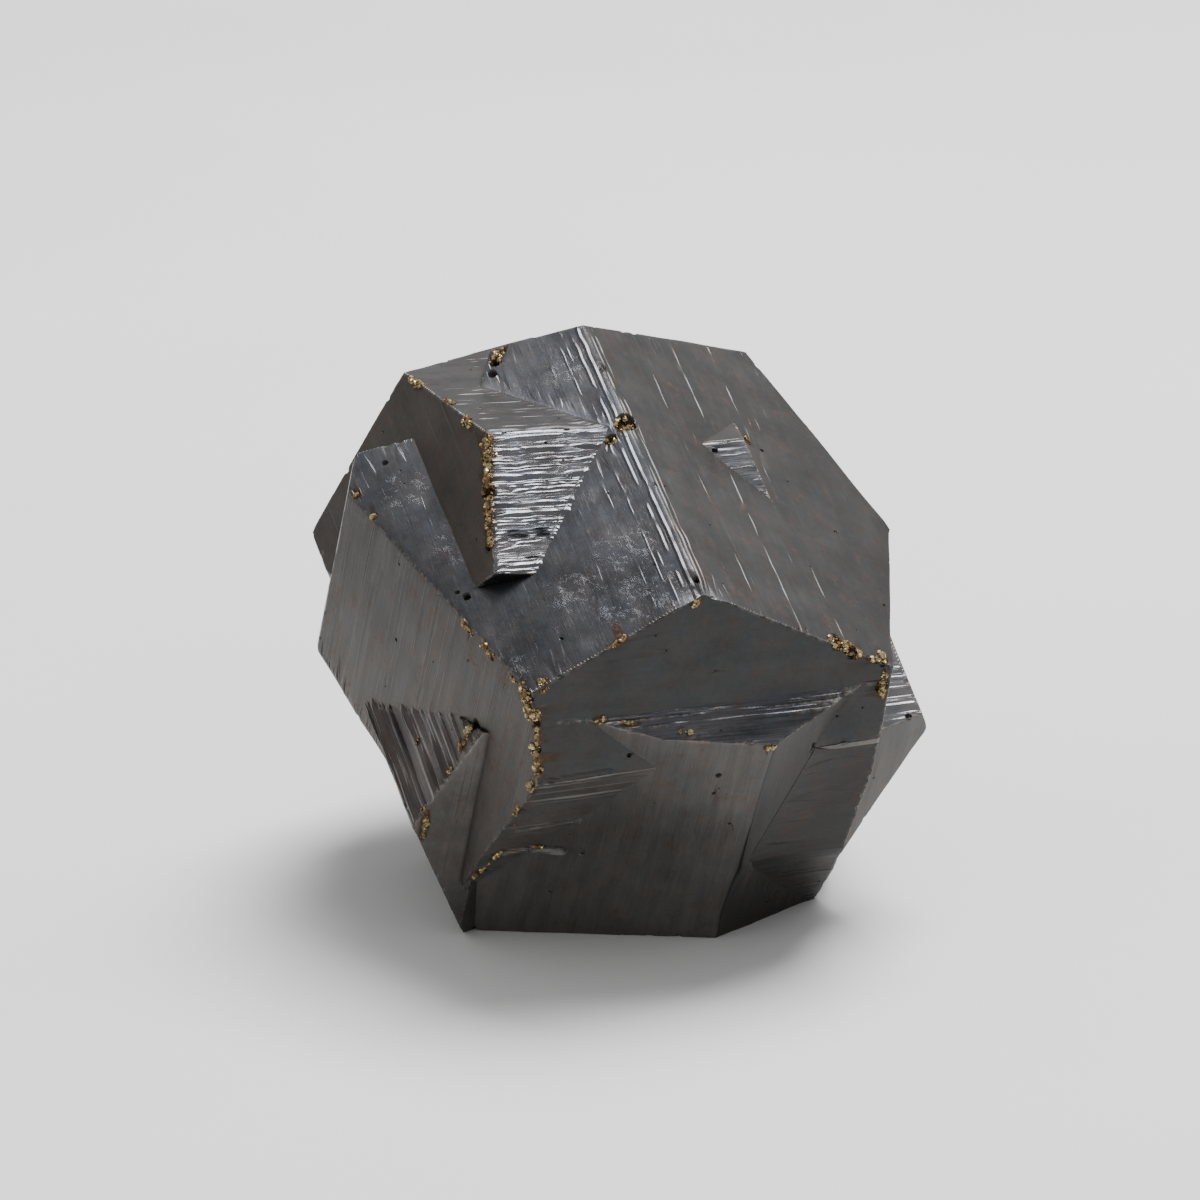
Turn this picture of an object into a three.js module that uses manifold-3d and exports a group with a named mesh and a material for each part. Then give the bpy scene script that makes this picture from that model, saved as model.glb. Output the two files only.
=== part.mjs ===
// An iron cross twin of pyrite: two pyritohedra grown through each other, a quarter turn apart,
// with the blocks that each of them grew beside its neighbours.
// Millimetres, +Z up. The twin rests on one face of the second crystal, at Z = 0.
import * as THREE from "three";
import { ConvexGeometry } from "three/addons/geometries/ConvexGeometry.js";
import { mergeVertices } from "three/addons/utils/BufferGeometryUtils.js";
import Module from "manifold-3d";

// A face is its outward direction in the cube axes that both crystals share, and its distance in mm
// from the middle of the twin. A true pyritohedron face leans by 0.5; these have grown a little off it.
const face = (x, y, z, distance) => ({
  normal: new THREE.Vector3(x, y, z).normalize(),
  distance,
});

// First crystal. Its faces lean from X to Y, from Y to Z and from Z to X.
const FIRST = {
  right: face(1, -0.45, 0, 15.4),
  middle: face(1, 0.46, 0, 16.3),
  left: face(0, 1, 0.25, 15.2),
  leftUpper: face(0, 1, -0.48, 11.8),
  leftSliver: face(0.01, 1, -0.44, 18.5),
  front: face(0.41, -0.01, 1, 18.2),
  frontLower: face(-0.36, -0.03, 1, 13.4),
  top: face(0.46, 0, -1, 18.3),
  topLeft: face(0.47, 0.01, -1, 13.1),
  back: face(0, -1, -0.35, 16.2),
  rightSide: face(0.02, -1, 0.38, 16.4),
  underLeft: face(-1, 0.51, -0.01, 11.7),
  underRight: face(-1, -0.48, 0, 16.0),
  underBack: face(-0.48, 0, -1, 16.0),
  cornerFront: face(0.14, -0.02, 1, 17.4),
  cornerLower: face(-0.43, -0.02, 1, 16.9),
  cornerSide: face(-0.09, -1, 0.54, 17.3),
  cornerInner: face(0, 1, 0.3, 2.6),
};

// Second crystal. Its faces lean from Y to X, from Z to Y and from X to Z.
const SECOND = {
  base: face(-1, -0.03, 0.5, 15.5),
  underside: face(-1, 0, -0.48, 16.0),
  backTop: face(0, 0.47, -1, 17.4),
  backRight: face(0, -0.48, -1, 16.0),
  leftSide: face(-0.48, 1, 0.01, 15.7),
  lowRight: face(-0.43, -1, 0, 14.6),
  highRight: face(0.46, -1, 0.01, 16.7),
  topBlockTop: face(1, -0.04, -0.39, 16.8),
  topBlockFront: face(1, -0.03, 0.39, 14.6),
  topBlockLeft: face(0.47, 1, 0, 16.6),
  topBlockBack: face(-0.47, 1, 0, 14.7),
  topBlockFoot: face(-0.33, 0.1, 1, 2.2),
  patchTop: face(1, 0, -0.48, 14.8),
  patchFront: face(1, 0, 0.45, 12.5),
  patchRight: face(0.51, -1, -0.01, 13.2),
  frontInner: face(1, 0, -0.48, 3.2),
  frontStrip: face(1, 0.01, 0.47, 16.1),
  frontRight: face(-0.01, 0.13, 1, 17.4),
  frontLeft: face(-0.12, 0.4, 1, 16.15),
  frontBand: face(-0.03, -0.46, 1, 17.5),
  wingInner: face(1, 0, -0.48, 0.5),
  wingSide: face(0.31, 1, -0.01, 14.2),
  wingFront: face(0.02, 0.46, 1, 16.1),
  wingFoot: face(0, -0.48, 1, 5.9),
  cornerInnerTwo: face(1, 0, -0.48, 20.0),
  cornerStrip: face(1, -0.02, 0.49, 9.3),
  cornerBand: face(0.01, -0.26, 1, 15.7),
};

// The faces that bound each block, and the faces of its neighbours that it stays just under.
const UNDER = 0.2;
const [P, Q] = [FIRST, SECOND];
const BLOCKS = [
  {
    name: "body of the first crystal",
    faces: [P.right, P.middle, P.left, P.leftUpper, P.front, P.frontLower, P.top, P.back, P.rightSide,
      P.underLeft, P.underRight, P.underBack, Q.base],
    under: [],
  },
  {
    name: "left plate of the first crystal, which ends lower at the top and further out at the left",
    faces: [P.right, P.middle, P.left, P.leftSliver, P.front, P.frontLower, P.topLeft, P.back, P.rightSide,
      P.underLeft, P.underRight, P.underBack, Q.base],
    under: [],
  },
  {
    name: "lower right corner of the first crystal, rounded by a few flatter faces",
    faces: [P.front, P.cornerFront, P.cornerLower, P.cornerSide, P.cornerInner, P.rightSide, P.back,
      P.underRight, P.underBack, Q.base, Q.lowRight],
    under: [P.right, P.middle, P.left, P.leftUpper, P.underLeft, P.top],
  },
  {
    name: "top block of the second crystal",
    faces: [Q.topBlockTop, Q.topBlockFront, Q.topBlockLeft, Q.topBlockBack, Q.topBlockFoot, Q.backTop,
      Q.backRight, Q.underside, Q.base, Q.lowRight, Q.highRight],
    under: [P.right, P.left, P.front, P.frontLower, P.rightSide, P.back],
  },
  {
    name: "small patch of the second crystal on the right face",
    faces: [Q.patchTop, Q.patchFront, Q.patchRight, Q.backTop, Q.backRight, Q.leftSide, Q.base,
      Q.underside],
    under: [P.middle, P.left, P.leftSliver, P.front, P.frontLower, P.rightSide, P.back, P.underLeft,
      P.underRight, P.underBack, P.top, P.topLeft],
  },
  {
    name: "front of the second crystal",
    faces: [Q.frontInner, Q.frontStrip, Q.frontRight, Q.frontLeft, Q.frontBand, Q.base, Q.underside,
      Q.backTop, Q.backRight, Q.leftSide, Q.lowRight, Q.highRight, Q.topBlockBack],
    under: [P.right, P.middle, P.left, P.topLeft, P.rightSide],
  },
  {
    name: "left wing of the second crystal, beside the left face",
    faces: [Q.wingInner, Q.wingSide, Q.wingFront, Q.wingFoot, Q.leftSide, Q.backTop, Q.backRight,
      Q.base, Q.underside, Q.highRight, Q.lowRight],
    under: [P.front, P.middle, P.rightSide, P.back],
  },
  {
    name: "right corner of the second crystal",
    faces: [Q.cornerInnerTwo, Q.cornerStrip, Q.cornerBand, Q.highRight, Q.lowRight, Q.topBlockLeft,
      Q.leftSide, Q.base, Q.underside, Q.backTop, Q.backRight],
    under: [P.right, P.middle, P.left, P.leftSliver, P.front, P.underLeft, P.topLeft, Q.frontLeft],
  },
];

// The way the twin is turned: its base face looks down, and this crystal direction points to +Y.
const AWAY = new THREE.Vector3(-0.41, -0.34, -0.85);

// Where three planes meet, or null where two of them are parallel.
function meetingPoint(a, b, c) {
  const across = b.normal.clone().cross(c.normal);
  const volume = a.normal.dot(across);
  if (Math.abs(volume) < 1e-6) return null;
  return across
    .multiplyScalar(a.distance)
    .addScaledVector(c.normal.clone().cross(a.normal), b.distance)
    .addScaledVector(a.normal.clone().cross(b.normal), c.distance)
    .divideScalar(volume);
}

// Every corner of the convex block that lies behind all of the faces.
function cornersOf(faces) {
  const corners = [];
  const isInside = (point) => faces.every((f) => f.normal.dot(point) < f.distance + 1e-5);
  const isNew = (point) => corners.every((corner) => corner.distanceTo(point) > 1e-4);
  faces.forEach((a, i) => {
    faces.slice(i + 1).forEach((b, j) => {
      faces.slice(i + j + 2).forEach((c) => {
        const point = meetingPoint(a, b, c);
        if (point && isInside(point) && isNew(point)) corners.push(point);
      });
    });
  });
  return corners;
}

const wasm = await Module();
wasm.setup();

// Slivers thinner than this, left where faces of two blocks coincide, are closed up.
const SMALLEST_DETAIL = 0.01;

function solidOf(geometry) {
  geometry.deleteAttribute("normal");
  geometry.deleteAttribute("uv");
  const merged = mergeVertices(geometry, 1e-4);
  const vertProperties = new Float32Array(merged.attributes.position.array);
  const triVerts = new Uint32Array(merged.index.array);
  return new wasm.Manifold(new wasm.Mesh({ numProp: 3, vertProperties, triVerts }));
}

function geometryOf(solid) {
  const mesh = solid.getMesh();
  const geometry = new THREE.BufferGeometry();
  geometry.setAttribute("position", new THREE.BufferAttribute(mesh.vertProperties, 3));
  geometry.setIndex(new THREE.BufferAttribute(mesh.triVerts, 1));
  return geometry;
}

// A block is convex, so its corners are enough to make it.
function solidOfBlock(block) {
  const inset = block.under.map((f) => ({ normal: f.normal, distance: f.distance - UNDER }));
  return solidOf(new ConvexGeometry(cornersOf([...block.faces, ...inset])));
}

const grown = BLOCKS.map(solidOfBlock).reduce((whole, solid) => whole.add(solid));
const twin = grown.asOriginal().simplify(SMALLEST_DETAIL);

// Crystal axes to the part's axes, then the middle of the footprint to the origin.
const up = Q.base.normal.clone().negate();
const acrossView = AWAY.clone().cross(up).normalize();
const back = up.clone().cross(acrossView);
const turn = new THREE.Matrix4().makeBasis(acrossView, back, up).transpose();
const geometry = geometryOf(twin).applyMatrix4(turn);
geometry.computeBoundingBox();
const { min, max } = geometry.boundingBox;
geometry.translate(-(min.x + max.x) / 2, -(min.y + max.y) / 2, -min.z);

const pyrite = new THREE.MeshStandardMaterial({ color: 0x77716a, roughness: 0.35, metalness: 0.85 });
pyrite.flatShading = true;
const crystal = new THREE.Mesh(geometry.toNonIndexed(), pyrite);
crystal.name = "twin_crystal";
crystal.geometry.computeVertexNormals();

const part = new THREE.Group();
part.name = "pyrite_iron_cross_twin";
part.add(crystal);

export default part;
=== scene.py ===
"""The looks of a pyrite iron cross twin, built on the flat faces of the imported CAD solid.
Lengths are in millimetres until the meshes are made, and the frame is the CAD's."""

import bmesh
import bpy
import math
import numpy as np
from mathutils import Matrix, Vector
from mathutils.bvhtree import BVHTree
from mathutils.geometry import delaunay_2d_cdt
from numpy.linalg import norm
from types import SimpleNamespace
from typing import NamedTuple


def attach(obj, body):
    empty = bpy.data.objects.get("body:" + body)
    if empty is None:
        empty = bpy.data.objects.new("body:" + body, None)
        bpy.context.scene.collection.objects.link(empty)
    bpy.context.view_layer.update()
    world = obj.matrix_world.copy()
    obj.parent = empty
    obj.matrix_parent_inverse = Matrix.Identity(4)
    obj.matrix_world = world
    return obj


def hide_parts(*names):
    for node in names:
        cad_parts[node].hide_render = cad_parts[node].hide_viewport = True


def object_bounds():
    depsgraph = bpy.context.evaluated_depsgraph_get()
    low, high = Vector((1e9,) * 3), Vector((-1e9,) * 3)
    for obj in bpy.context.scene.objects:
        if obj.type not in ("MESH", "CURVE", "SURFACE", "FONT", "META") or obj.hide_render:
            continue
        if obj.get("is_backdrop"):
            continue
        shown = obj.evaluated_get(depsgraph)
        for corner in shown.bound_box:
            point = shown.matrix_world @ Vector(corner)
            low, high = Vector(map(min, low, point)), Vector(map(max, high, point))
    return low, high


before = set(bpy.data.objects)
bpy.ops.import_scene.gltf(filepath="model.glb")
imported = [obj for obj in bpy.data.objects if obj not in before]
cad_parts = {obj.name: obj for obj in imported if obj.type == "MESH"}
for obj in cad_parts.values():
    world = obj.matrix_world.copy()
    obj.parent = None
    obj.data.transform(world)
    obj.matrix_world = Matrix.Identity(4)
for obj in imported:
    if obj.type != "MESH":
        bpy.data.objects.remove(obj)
cad_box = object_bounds()
MM = 0.001
SEED = 7

# The twin's middle in the frame, the way its base face points and the direction that looks to +Y,
# as in the CAD source. The rows of CUBE are the frame's axes in cube axes.
MIDDLE = np.array([-0.405, 1.082, 15.5])
BASE = np.array([-1, -0.03, 0.5])
AWAY = np.array([-0.41, -0.34, -0.85])


def unit(v):
    return np.asarray(v, float) / norm(v)


UP = -unit(BASE)
ACROSS = unit(np.cross(AWAY, UP))
CUBE = np.array([ACROSS, np.cross(UP, ACROSS), UP])

# ---------------- faces and their finish


class Face(NamedTuple):
    """A face by its direction in cube axes and its distance from the middle, with its finish. Its
    growth ridges have a pitch and height; a share of them stand out, which fades away from the upper
    edge over a distance; they change along a run, and steady ones stay high for longer. A band of
    close ridges may line that edge."""

    direction: tuple
    distance: float
    finish: str
    pitch: float = 0.45
    height: float = 0.02
    share: float = 0.3
    fade: float = 40.0
    run: float = 2.2
    steady: float = 0.75
    band: tuple = (0.0, 1.0, 0.0)  # its width, and the pitch and height of its ridges


FACES = {
    "right": Face((1, -0.45, 0), 15.4, "taupe", 0.4, 0.02, 0.95, 3.2, 1.2, 0.25, (0.9, 0.4, 0.045)),
    "middle": Face((1, 0.46, 0), 16.3, "blue", 0.4, 0.02, 0.7, 2.4, 1.0, 0.15, (1.4, 0.4, 0.05)),
    "left": Face((0, 1, 0.25), 15.2, "olive", 0.45, 0.014, 0.35),
    "left_sliver": Face((0.01, 1, -0.44), 18.5, "steel", 0.3, 0.015, 0.5),
    "front": Face((0.41, -0.01, 1), 18.2, "dusky", 0.8, 0.004, 0.2),
    "front_lower": Face((-0.36, -0.03, 1), 13.4, "ash", 0.7, 0.04, 0.3),
    "right_side": Face((0.02, -1, 0.38), 16.4, "plain", 0.4, 0.02),
    "corner_front": Face((0.14, -0.02, 1), 17.4, "band", 0.55, 0.006),
    "corner_lower": Face((-0.43, -0.02, 1), 16.9, "band", 0.45, 0.03),
    "block_top": Face((1, -0.04, -0.39), 16.8, "slate", 0.3, 0.018, 0.4, 9.0, 0.8, 0.25, (0.7, 0.28, 0.03)),
    "block_front": Face((1, -0.03, 0.39), 14.6, "bright", 0.26, 0.075, 0.9, 40.0, 0.6, 0.55),
    "block_left": Face((0.47, 1, 0), 16.6, "umber", 0.5, 0.006, 0.2),
    # The foot under the block's overhang is painted near black, as painted shadow.
    "block_foot": Face((-0.33, 0.1, 1), 2.2, "shade", 0.5, 0.006, 0.2),
    "patch_top": Face((1, 0, -0.48), 14.8, "taupe", 0.4, 0.014, 0.4),
    "patch_front": Face((1, 0, 0.45), 12.5, "silver", 0.4, 0.022, 0.5, 40.0, 0.7, 0.3),
    "strip": Face((1, 0.01, 0.47), 16.1, "ink", 0.36, 0.03, 0.8, 2.0, 1.4, 0.55, (1.1, 0.3, 0.05)),
    "front_right": Face((-0.01, 0.13, 1), 17.4, "soot", 0.42, 0.008, 0.5),
    "front_left": Face((-0.12, 0.4, 1), 16.15, "soot", 0.42, 0.008, 0.5),
    "front_band": Face((-0.03, -0.46, 1), 17.5, "band", 0.5, 0.005),
    "wing_side": Face((0.31, 1, -0.01), 14.2, "rib", 0.42, 0.11, 0.9, 40.0, 2.6, 0.8),
    "wing_front": Face((0.02, 0.46, 1), 16.1, "ash", 0.45, 0.01),
    "corner_strip": Face((1, -0.02, 0.49), 9.3, "steel", 0.34, 0.045, 0.9, 40.0, 1.0, 0.6),
    "corner_band": Face((0.01, -0.26, 1), 15.7, "pale", 0.5, 0.006),
}
PLAIN = Face((0, 0, 0), 0, "plain", 0.45, 0.028, 0.4, 40.0, 1.6, 0.5)

# How far the chipped wear of an outward edge reaches over the faces, and how deep it is.
WORN = (0.17, 0.030)
# Edges that are rounded instead: the reach, the depth, which is negative where a seam is filled, and
# how much the depth changes along the edge. "" is any other face.
ROUNDED = {
    ("middle", "right"): (0.25, 0.02, 0.5),
    ("front_left", "middle"): (0.25, 0.04, 0.3),
    ("front_left", "right"): (0.25, 0.04, 0.3),
    ("left", "middle"): (0.25, 0.03, 0.3),
    ("front", "middle"): (0.25, 0.04, 0.3),
    ("front", "right"): (0.25, 0.04, 0.3),
    ("front_left", "front_right"): (3.0, 0.21, 0.0),
    ("front_band", "front_right"): (0.35, 0.04, 0.4),
    ("corner_front", "front"): (1.8, 0.112, 0.0),
    ("corner_front", "corner_lower"): (1.0, 0.1, 0.3),
    ("front", "front_lower"): (0.8, 0.08, 0.4),
    ("right", "right_side"): (1.8, 0.17, 0.9),
    ("", "right"): (0.35, 0.04, 0.8),
    ("", "middle"): (0.25, 0.03, 0.3),
    ("", "block_top"): (0.4, 0.05, 0.5),
    ("", "left"): (0.8, 0.12, 0.7),
    ("", "left_sliver"): (0.8, 0.12, 0.7),
    ("", ""): (0.5, 0.08, 0.7),
    ("corner_front", "front_band"): (3.4, -0.38, 0.0),
    ("block_top", "middle"): (0.9, -0.09, 0.3),
    ("corner_lower", "front_band"): (0.8, -0.08, 0.2),
    ("corner_front", "front_lower"): (0.8, -0.08, 0.2),
}
# Corners that are rounded off: the place, the reach, the depth and the face that stays flat there.
CORNERS = [((5.2, -16.95, 25.25), 2.6, 0.34, "front")]
# Shallow seams that get painted shade all the same.
SHADED_SEAMS = [("left", "wing_front")]
SOFT = 1.5  # the ridges fade out beside edges that are rounded over a reach longer than this
FADE = 0.6  # distance over which they do so
FLANK = 0.45  # slope of a ridge's steep flank, which faces along the cube axis
GIVE = 0.01  # how readily a point on a shallow edge falls short of its height, so as not to slide far
HIGHLIGHTED_RIDGES = "ink"  # the finish whose highest ridges get painted highlights

# Spacing of the mesh.
WELD = 0.004  # corners of the CAD closer than this are one
SAME_PLANE = 0.12  # a CAD face at least this close to a listed one may have its name
STEP = 0.12  # along an edge
RUN = 0.85  # along a ridge at most
NEAR_RUN = 0.3  # along a ridge that passes a rounded corner
STRETCH = 6.0  # triangles may be this much longer along the ridges than across them
ENDS = np.array([0.17, 0.36, 0.62, 0.98])  # where the points near the ends of a ridge are
FIRST_ROW, ROW = 0.085, 0.2  # distances from an outline of the two rows of points that border it
STEPS = np.linspace(0, 1, 7)[:, None]  # where a line is tested for what it passes

# Angles in degrees.
COPLANAR = 0.4  # triangles that differ less are one face
SAME_FACE = 1.0  # a CAD face that differs less from a listed one has its name
SHARP = 9  # smooth shading ends at edges sharper than this
CHIPPED = 20  # other edges sharper than this are chipped
OUTWARD, KEEN = 35, 70  # edges start to look worn and to get painted highlight at the first and are fully so at the second
INWARD, DEEP = -32, -85  # and so for painted shade in inward seams

# Numbers of small random pits and of chips along the edges.
SMALL_PITS, CHIPS = 170, 120
# Pits and cavities: a place on the surface, a radius and a depth.
PITS = [
    ((0.7, -3.9, 32.4), 0.72, 0.65), ((-0.3, -4.9, 31.6), 0.38, 0.35),
    ((-7.9, -9.4, 29.5), 0.5, 0.45), ((-7.9, -8.1, 31.0), 0.3, 0.22),
    ((-7.8, -11.8, 26.9), 0.38, 0.3), ((-7.3, 3.8, 35.0), 0.5, 0.45),
    ((-7.6, 2.9, 34.4), 0.42, 0.45), ((-7.8, 2.0, 33.9), 0.32, 0.3),
    ((13.4, -13.3, 21.1), 0.62, 0.45), ((14.4, -13.2, 20.5), 0.55, 0.4),
    ((16.3, -12.3, 19.2), 0.45, 0.3), ((16.2, -12.4, 17.8), 0.4, 0.25),
    ((-5.3, -20.1, 20.0), 0.5, 0.35), ((-4.9, -20.3, 18.3), 0.34, 0.26),
    ((-5.0, -20.2, 16.6), 0.36, 0.26), ((-4.9, -20.1, 15.2), 0.3, 0.22),
    ((6.2, -1.3, 29.7), 0.2, 0.2), ((4.8, -16.0, 26.1), 0.28, 0.32),
    ((-9.2, -12.9, 24.0), 0.3, 0.34), ((-9.8, -12.5, 24.2), 0.16, 0.18),
    ((-14.5, -2.1, 29.3), 0.22, 0.16), ((-3.4, -17.5, 22.8), 0.14, 0.14),
    ((16.7, -6.0, 21.0), 0.12, 0.12), ((6.1, -16.5, 13.5), 0.22, 0.16),
    ((5.8, -15.8, 12.1), 0.13, 0.12), ((6.8, -14.3, 9.6), 0.13, 0.12),
    ((17.2, -9.8, 17.0), 0.2, 0.16), ((18.5, -6.2, 13.9), 0.22, 0.18),
    ((17.0, -7.6, 13.7), 0.14, 0.12), ((-16.2, -3.7, 27.8), 0.22, 0.18),
    ((-15.1, -5.6, 26.9), 0.22, 0.16), ((-9.0, -14.8, 22.4), 0.22, 0.16),
    ((-7.6, -16.9, 21.4), 0.22, 0.16), ((-6.3, -18.8, 20.7), 0.2, 0.16),
    ((-8.7, -14.4, 16.0), 0.45, 0.25), ((-12.0, -12.2, 9.0), 0.3, 0.16),
]
# Grooves: the two ends, a radius and a depth.
GROOVES = [
    ((-4.5, -19.8, 14.4), (-0.4, -18.4, 14.5), 0.24, 0.07),
    ((-6.2, -15.2, 9.5), (-2.4, -14.2, 9.9), 0.3, 0.11),
    ((-7.0, -12.9, 7.1), (-3.6, -12.3, 7.3), 0.42, 0.2),
    ((11.2, -10.0, 5.4), (14.0, -4.0, 3.8), 0.24, 0.08),
    ((-14.3, 1.5, 30.0), (-15.5, -1.5, 29.0), 0.16, 0.06),
]
# Patches of small glinting steps: the place and the radius.
GLINTS = [
    ((2.4, -16.4, 25.1), 3.2),
    ((0.0, -15.9, 24.6), 2.4),
    ((0.5, -12.6, 27.3), 2.8),
    ((-3.0, -14.6, 25.0), 2.2),
    ((-6.4, -18.4, 21.3), 1.8),
    ((-9.5, -9.0, 26.5), 2.6),
    ((-2.6, 1.4, 33.6), 2.6),
    ((-13.2, -4.4, 28.0), 2.2),
]
# Dark blotches: the place, the radius and the strength.
BLOTCHES = [
    ((-0.4, -18.9, 21.7), 0.75, 0.4),
    ((0.8, -18.3, 20.7), 0.6, 0.4),
    ((3.0, -17.6, 21.3), 0.65, 0.4),
    ((1.4, -18.1, 21.9), 0.4, 0.35),
    ((-2.0, -19.3, 21.3), 0.55, 0.4),
    ((7.0, -16.0, 22.0), 0.5, 0.3),
    # The two wide ones are painted shade over the upper left of the front face.
    ((0.2, -18.7, 21.8), 2.4, 0.28),
    ((2.6, -17.9, 22.6), 2.0, 0.24),
]

FAR_GOLD = 10  # seams of the far side that get golden grains too
CROWD = 2.2  # grains for each one that is listed
# Seams and spots with golden grains: the two ends, the width, and how many.
GOLD = [
    ((-8.0, -6.8, 32.3), (-7.9, -9.0, 30.0), 0.34, 90),
    ((-7.9, -9.0, 30.0), (-7.8, -11.9, 26.9), 0.3, 70),
    ((-12.9, 1.9, 33.5), (-12.2, 1.0, 33.4), 0.3, 14),
    ((-10.6, -1.6, 33.1), (-10.2, -2.1, 33.0), 0.22, 9),
    ((-9.5, -4.4, 32.7), (-9.1, -5.1, 32.6), 0.3, 18),
    ((-7.3, 3.9, 35.0), (-7.6, 3.0, 34.5), 0.4, 24),
    ((0.7, -3.9, 32.4), (0.5, -4.2, 32.2), 0.55, 46),
    ((-0.3, -4.9, 31.6), (-0.4, -5.0, 31.5), 0.22, 9),
    ((8.2, 2.7, 29.3), (8.5, 2.3, 29.1), 0.16, 8),
    ((-16.2, -3.7, 27.8), (-16.3, -3.8, 27.6), 0.16, 7),
    ((-15.1, -5.6, 26.9), (-15.2, -5.7, 26.8), 0.12, 4),
    ((-9.5, -14.2, 22.8), (-8.8, -15.0, 22.3), 0.2, 16),
    ((-8.1, -16.1, 22.0), (-7.5, -17.0, 21.4), 0.2, 16),
    ((-6.6, -18.4, 20.9), (-6.1, -19.1, 20.5), 0.12, 6),
    ((-5.9, -19.6, 20.4), (-5.0, -20.3, 18.6), 0.38, 80),
    ((-4.6, -20.0, 20.4), (-4.3, -19.8, 20.8), 0.22, 12),
    ((-4.9, -20.3, 18.5), (-5.0, -20.2, 16.4), 0.1, 10),
    ((-5.2, -20.2, 16.7), (-4.9, -20.2, 14.9), 0.3, 50),
    ((-5.3, -19.5, 14.2), (-5.4, -19.2, 13.7), 0.26, 18),
    ((-6.2, -17.7, 12.0), (-6.3, -17.5, 11.6), 0.16, 6),
    ((-6.4, -16.2, 10.4), (-6.5, -16.1, 10.2), 0.08, 3),
    ((-7.3, -13.3, 7.5), (-7.8, -12.6, 6.8), 0.16, 10),
    ((-8.1, -12.2, 6.3), (-9.2, -11.0, 4.8), 0.1, 12),
    ((-5.6, -12.6, 7.3), (-4.8, -12.5, 7.4), 0.16, 10),
    ((0.4, -18.6, 23.2), (-0.4, -19.0, 22.8), 0.12, 8),
    ((13.3, -13.3, 21.3), (14.8, -13.1, 20.3), 0.42, 70),
    ((16.2, -11.6, 19.9), (16.3, -12.5, 17.2), 0.28, 60),
    ((15.6, -13.0, 19.7), (16.2, -12.6, 19.6), 0.12, 8),
    ((-1.3, -19.0, 18.0), (-0.8, -18.9, 18.1), 0.14, 7),
    ((0.3, -18.7, 17.8), (0.9, -18.5, 17.7), 0.08, 5),
    ((3.7, -18.0, 17.0), (4.4, -17.9, 16.8), 0.08, 8),
    ((9.0, -16.9, 15.5), (9.5, -16.8, 15.4), 0.08, 5),
    ((4.9, -17.2, 25.0), (4.6, -17.3, 24.7), 0.12, 5),
    ((-9.2, -14.4, 16.2), (-9.8, -14.0, 14.4), 0.26, 46),
    ((-10.2, -13.9, 13.1), (-10.4, -13.7, 12.8), 0.08, 3),
    ((-11.9, -12.4, 9.9), (-12.2, -11.6, 7.8), 0.18, 34),
    ((-12.4, -9.3, 13.5), (-12.5, -9.2, 13.2), 0.1, 3),
    ((17.2, -9.8, 17.0), (17.3, -9.7, 16.9), 0.08, 2),
]

# ---------------- the CAD's flat faces


def cad_faces(node):
    """The corner points, and each flat face with its normal, triangles and outline edges. An edge
    holds its two corners, the face beyond it and the angle, which is negative in an inward seam."""
    bm = bmesh.new()
    bm.from_mesh(node.data)
    bmesh.ops.remove_doubles(bm, verts=bm.verts, dist=WELD * MM)
    bm.verts.index_update()
    bm.faces.index_update()
    corners = np.array([v.co for v in bm.verts]) / MM
    group = {}
    found = []
    for seed in sorted(bm.faces, key=lambda f: -f.calc_area()):
        if seed in group:
            continue
        group[seed] = len(found)
        members = [seed]
        for f in members:
            for e in f.edges:
                for g in e.link_faces:
                    if g not in group and g.normal.angle(seed.normal) < math.radians(COPLANAR):
                        group[g] = len(found)
                        members.append(g)
        found.append(members)
    faces = []
    for i, members in enumerate(found):
        normal = unit(sum(np.array(f.normal) * f.calc_area() for f in members))
        outline = []
        for f in members:
            for loop in f.loops:
                other = group[loop.link_loop_radial_next.face]
                if other != i:
                    angle = math.degrees(loop.edge.calc_face_angle_signed())
                    outline.append((loop.vert.index, loop.link_loop_next.vert.index, other, angle))
        triangles = [[v.index for v in f.verts] for f in members]
        faces.append(SimpleNamespace(normal=normal, triangles=triangles, outline=outline))
    bm.free()
    return corners, faces


def name_of(normal, point):
    """The listed face that this one is, by direction and distance, or an empty name."""
    n = CUBE.T @ normal
    distance = normal @ (point - MIDDLE)
    for name, face in FACES.items():
        alike = n @ unit(face.direction) > math.cos(math.radians(SAME_FACE))
        if alike and abs(distance - face.distance) < SAME_PLANE:
            return name
    return ""


def ridge_axes(normal):
    """Along the ridges, which follow the cube axis that the face leans least towards, and across
    them, to the cube axis that it leans most towards."""
    n = CUBE.T @ normal
    axis = CUBE[:, int(np.argmin(np.abs(n)))]
    along = unit(axis - normal * (axis @ normal))
    across = np.cross(normal, along)
    most = int(np.argmax(np.abs(n)))
    if across @ CUBE[:, most] * n[most] < 0:
        along, across = -along, -across
    return along, across


# ---------------- smooth random values

_waves = np.random.default_rng(SEED)
WAVES = _waves.normal(size=(10, 3))
PHASES = _waves.uniform(0, 2 * math.pi, 10)


def wander(points, size):
    """Smooth values between about -1 and 1 that change over this many mm."""
    return np.sin(points @ WAVES.T * (1.7 / size) + PHASES).sum(1) * 0.25


def smooth(t):
    return t * t * (3 - 2 * t)


# ---------------- relief of one face


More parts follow.
